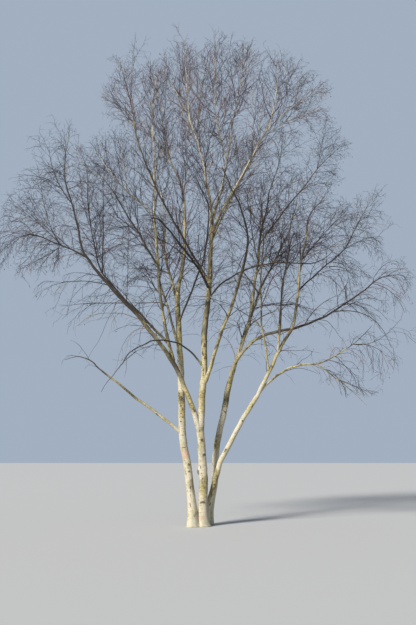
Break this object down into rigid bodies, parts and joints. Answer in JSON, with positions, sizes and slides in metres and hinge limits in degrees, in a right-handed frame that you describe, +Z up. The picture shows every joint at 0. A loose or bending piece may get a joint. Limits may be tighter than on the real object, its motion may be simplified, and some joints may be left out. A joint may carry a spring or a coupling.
{
  "type": "multi-stem silver birch tree",
  "caption": "Bare winter silver birch with pale stems rising from one root, spreading boughs and an open, rounded crown of fine dark twigs.",
  "frame": {"origin": "middle of the flat cut under the middle stem, at ground level", "axes": "+Z up; +Y away from the front of the tree; +X to the right seen from the front"},
  "size_m": [10.7424, 8.3584, 13.5057],
  "materials": {
    "bark_white": "peeling white birch bark with dark scars and rings",
    "bark_cream": "smooth cream to olive bark with dark patches at the forks",
    "bark_dark": "thin grey-brown bark",
    "twigs": "matt purplish-brown haze of fine bare twigs"
  },
  "bodies": {
    "root": {"arc_left": "bark_dark", "arc_right": "bark_dark", "back_left_bough": "bark_cream", "back_middle_bough": "bark_cream", "back_right_bough": "bark_cream", "front_bough": "bark_cream", "front_bough_up": "bark_dark", "front_left_bough": "bark_dark", "front_right_bough": "bark_dark", "leader": "bark_cream", "leader_dark": "bark_dark", "leader_left": "bark_cream", "leader_middle": "bark_white", "leader_right": "bark_cream", "leader_right_back": "bark_cream", "left_bough": "bark_cream", "left_bough_far": "bark_dark", "left_bough_outer": "bark_dark", "left_bough_up": "bark_dark", "left_second": "bark_dark", "left_stem_back": "bark_cream", "left_stem_front": "bark_dark", "left_stem_leader": "bark_cream", "left_upright": "bark_cream", "left_upright_side": "bark_dark", "low_left": "bark_cream", "outer_low": "bark_cream", "outer_thin": "bark_white", "outer_upright": "bark_white", "outer_upright_side": "bark_dark", "outer_upright_top": "bark_cream", "right_arch": "bark_cream", "right_arch_outer": "bark_dark", "right_upright": "bark_cream", "right_upright_outer": "bark_dark", "right_upright_top": "bark_dark", "stem_left": "bark_white", "stem_middle": "bark_white", "stem_outer": "bark_white", "stem_right": "bark_white", "twigs_back_left": "twigs", "twigs_back_middle": "twigs", "twigs_back_right": "twigs", "twigs_front_left": "twigs", "twigs_front_middle": "twigs", "twigs_front_right": "twigs", "twigs_inner_right": "twigs", "twigs_left_far": "twigs", "twigs_left_inner": "twigs", "twigs_left_low": "twigs", "twigs_right_arch": "twigs", "twigs_right_high": "twigs", "twigs_right_low": "twigs", "twigs_right_upper": "twigs", "twigs_top_left_back": "twigs", "twigs_top_left_front": "twigs", "twigs_top_middle": "twigs", "twigs_top_middle_left": "twigs", "twigs_top_right": "twigs", "twigs_top_right_back": "twigs"}
  },
  "joints": []
}
